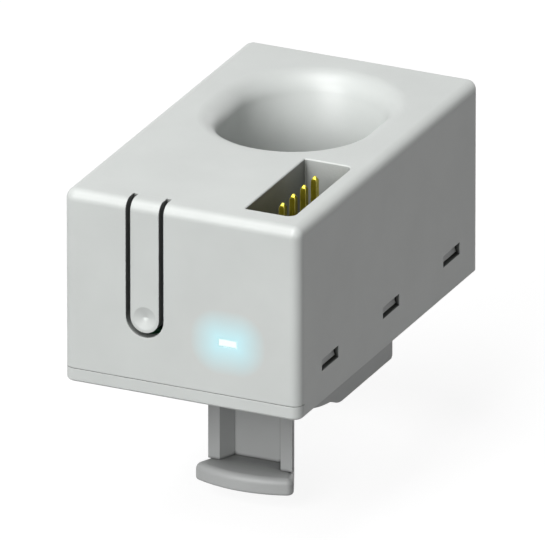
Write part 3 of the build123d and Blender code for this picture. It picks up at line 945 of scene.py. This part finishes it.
@dataclass
class PinConnector:
    """The header in the connector pocket: a black body and a row of square pins."""

    pins: tuple[str, ...] = ("header_pin_1", "header_pin_2", "header_pin_3", "header_pin_4")
    body: str = "header_base"
    point: float = 0.45
    point_share: float = 0.3
    edge_round: float = 0.05

    def _model_pin(self, low: Vector, high: Vector) -> bpy.types.Object:
        """Models one pin: a square shaft drawn in to a blunt point at both ends.

        Args:
            low: the pin's lowest corner, in metres.
            high: its highest corner.

        Returns:
            The pin.
        """
        drop = Vector((0.0, 0.0, self.point * MM))
        pin = Bench.cube(low + drop, high - drop, "pin_1")
        bpy.ops.object.mode_set(mode="EDIT")
        for way in (1.0, -1.0):
            Bench.pick_end(pin, way)
            outwards = (0.0, 0.0, way * self.point * MM)
            bpy.ops.mesh.extrude_region_move(TRANSFORM_OT_translate={"value": outwards})
            bpy.ops.transform.resize(value=(self.point_share, self.point_share, 1.0))
        bpy.ops.object.mode_set(mode="OBJECT")
        Bench.soften(pin, self.edge_round * MM, 3)
        return pin

    def build(self) -> list[bpy.types.Object]:
        """Models the first pin, copies it along the row and dresses the header.

        Returns:
            The pieces.
        """
        low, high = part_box(self.pins[0])
        first = self._model_pin(low, high)
        first.data.materials.append(PIN_METAL.material())
        row = [first]
        for number, node in enumerate(self.pins[1:], start=2):
            row.append(Bench.copy(first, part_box(node)[0] - low, f"pin_{number}"))
        for pin, node in zip(row, self.pins):
            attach(pin, Body.HOUSING.value)
            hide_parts(node)
        return row + [dress(self.body, HEADER_PLASTIC)]


@dataclass
class Electronics:
    """The circuit board and what stands on it."""

    finishes: dict[str, Finish] = field(default_factory=lambda: {
        "circuit_board": BOARD_LAMINATE,
        "switch_body": CHIP_PLASTIC,
        "switch_plunger": PLUNGER_PLASTIC,
        "microcontroller": CHIP_PLASTIC,
        "bus_transceiver": CHIP_PLASTIC,
        "voltage_regulator": CHIP_PLASTIC,
        "hall_sensor": CHIP_PLASTIC,
        "crystal": CAN_METAL,
        "buffer_capacitor": CAPACITOR_CERAMIC,
        "filter_capacitor_1": CAPACITOR_CERAMIC,
        "filter_capacitor_2": CAPACITOR_CERAMIC,
        "filter_capacitor_3": CAPACITOR_CERAMIC,
    })

    def build(self) -> list[bpy.types.Object]:
        """Dresses the board's pieces.

        Returns:
            The pieces.
        """
        return [dress(node, finish) for node, finish in self.finishes.items()]


@dataclass
class FieldPickup:
    """The magnetic core round the passage and the cradle that carries it."""

    core: str = "magnetic_core"
    cradle: str = "core_cradle"

    def build(self) -> list[bpy.types.Object]:
        """Dresses the core and its cradle.

        Returns:
            The pieces.
        """
        return [dress(self.core, CORE_METAL), dress(self.cradle, BASE_PLASTIC)]


@dataclass
class AdapterFoot:
    """The foot under the housing and the release latch that slides in it."""

    foot: str = "adapter_foot"
    latch: str = "release_latch"

    def build(self) -> list[bpy.types.Object]:
        """Dresses the foot and its latch.

        Returns:
            The pieces.
        """
        return [dress(self.foot, FOOT_PLASTIC), dress(self.latch, LATCH_PLASTIC)]


@dataclass(frozen=True)
class Lamp:
    """A square lamp a metre from the object."""

    name: str
    toward: tuple[float, float, float]
    size: float
    energy: float

    def hang(self) -> bpy.types.Object:
        """Hangs the lamp, turned to the object.

        Returns:
            The lamp's object.
        """
        data = bpy.data.lights.new(self.name, "AREA")
        data.shape = "SQUARE"
        data.size = self.size
        data.energy = self.energy
        lamp = bpy.data.objects.new(self.name, data)
        way = Vector(self.toward).normalized()
        lamp.location = way
        lamp.rotation_euler = way.to_track_quat("Z", "Y").to_euler()
        bpy.context.scene.collection.objects.link(lamp)
        return lamp


@dataclass
class Studio:
    """Floor, backdrop light, lamps and the camera at the photograph's place."""

    azimuth: float = 24.68
    elevation: float = 22.7
    target: tuple[float, float, float] = (-3.104, -0.21, 2.647)
    view_width: float = 53.48
    near_plane: float = 13.9
    lens: float = 1600.0
    sensor: float = 36.0
    sight: float = 100.0
    ambient: float = 0.035
    lamps: tuple[Lamp, ...] = (
        Lamp("front", (-0.1, -0.85, 0.5), 0.5, 6.3),
        Lamp("high", (0.0, -0.6, 0.8), 0.4, 2.0),
        Lamp("top", (-0.13, -0.3, 0.94), 0.5, 4.65),
        Lamp("back", (0.12, 0.95, 0.2), 0.5, 0.8),
    )
    floor_level: float = -17.0
    floor_radius: float = 1500.0
    floor_sides: int = 96
    speck_scale: float = 40.0
    floor_pale: Colour = (0.17, 0.17, 0.17)
    floor_speck: Colour = (0.19, 0.19, 0.19)
    floor_bounce: Colour = (0.18, 0.18, 0.18)
    floor_glow: float = 0.9

    def _camera(self) -> None:
        """Places the camera, turned to the target and level with the horizon."""
        turn = math.radians(self.azimuth)
        rise = math.radians(self.elevation)
        back = Vector((math.cos(rise) * math.sin(turn), -math.cos(rise) * math.cos(turn), math.sin(rise)))
        right = Vector((0.0, 0.0, 1.0)).cross(back).normalized()
        up = back.cross(right)
        far = self.view_width * self.lens / self.sensor + self.near_plane
        data = bpy.data.cameras.new("camera")
        data.lens = self.lens
        data.sensor_width = self.sensor
        data.clip_end = self.sight
        camera = bpy.data.objects.new("camera", data)
        place = (Vector(self.target) + back * far) * MM
        camera.matrix_world = Matrix.Translation(place) @ Matrix((right, up, back)).transposed().to_4x4()
        bpy.context.scene.collection.objects.link(camera)
        bpy.context.scene.camera = camera

    def _seen(self, sheet: NodeSheet) -> bpy.types.NodeSocket:
        """Tells the rays that show the background: from the camera, a reflection or through glass.

        Args:
            sheet: the node sheet.

        Returns:
            A mask's socket, 1 for those rays.
        """
        path = sheet.add("LightPath")
        seen = sheet.calc("MAXIMUM", path.outputs["Is Camera Ray"], path.outputs["Is Glossy Ray"])
        return sheet.calc("MAXIMUM", seen, path.outputs["Is Transmission Ray"])

    def _world(self) -> None:
        """Makes a white backdrop that lights the object only faintly."""
        world = bpy.data.worlds.new("studio")
        world.use_nodes = True
        bpy.context.scene.world = world
        sheet = NodeSheet(world.node_tree)
        sheet.feed(world.node_tree.nodes["Background"], {
            "Color": (*WHITE, 1.0),
            "Strength": sheet.span(self._seen(sheet), 0.0, 1.0, self.ambient, 1.0),
        })

    def _floor(self) -> None:
        """Lays the pale floor below the pulled latch, clear from below so that the underside shows."""
        Bench.clear()
        bpy.ops.mesh.primitive_circle_add(vertices=self.floor_sides, radius=self.floor_radius * MM,
                                          fill_type="NGON", location=(0.0, 0.0, self.floor_level * MM))
        floor = bpy.context.object
        floor.name = "floor"
        bpy.ops.object.transform_apply(location=True)
        material = bpy.data.materials.new("pale_floor")
        material.use_nodes = True
        sheet = NodeSheet(material.node_tree)
        material.node_tree.nodes.remove(material.node_tree.nodes["Principled BSDF"])
        seen = self._seen(sheet)
        speck = sheet.add("TexNoise", {"Vector": sheet.add("TexCoord").outputs["Object"],
                                       "Scale": self.speck_scale})
        pale = sheet.blend(speck.outputs[0], self.floor_pale, self.floor_speck)
        matt = sheet.add("BsdfDiffuse", {"Color": sheet.blend(seen, self.floor_bounce, pale)})
        glow = sheet.add("Emission", {"Color": (*WHITE, 1.0),
                                      "Strength": sheet.calc("MULTIPLY", seen, self.floor_glow)})
        both = sheet.add("AddShader", {0: matt.outputs[0], 1: glow.outputs[0]})
        below = sheet.add("NewGeometry").outputs["Backfacing"]
        clear = sheet.add("BsdfTransparent")
        shown = sheet.add("MixShader", {0: below, 1: both.outputs[0], 2: clear.outputs[0]})
        sheet.feed(material.node_tree.nodes["Material Output"], {"Surface": shown.outputs[0]})
        floor.data.materials.append(material)
        floor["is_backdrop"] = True

    def build(self) -> None:
        """Sets up the whole studio."""
        bpy.context.scene.view_settings.view_transform = "Standard"
        self._camera()
        self._world()
        self._floor()
        for lamp in self.lamps:
            lamp.hang()


def main() -> None:
    """Builds every sub-assembly and the studio, and notes the boxes before and after."""
    logging.basicConfig(level=logging.INFO, format="%(name)s: %(message)s")
    sizes = {"cad": nodes_box(["cad"])}
    for assembly in (HousingShell(), BaseCover(), LitWindow(), PinConnector(), Electronics(), FieldPickup(),
                     AdapterFoot()):
        for piece in assembly.build():
            log.info("%s: %s, %d faces", type(assembly).__name__, piece.name, len(piece.data.polygons))
    Studio().build()
    sizes["visual"] = nodes_box(["visual"])


if __name__ == "__main__":
    main()
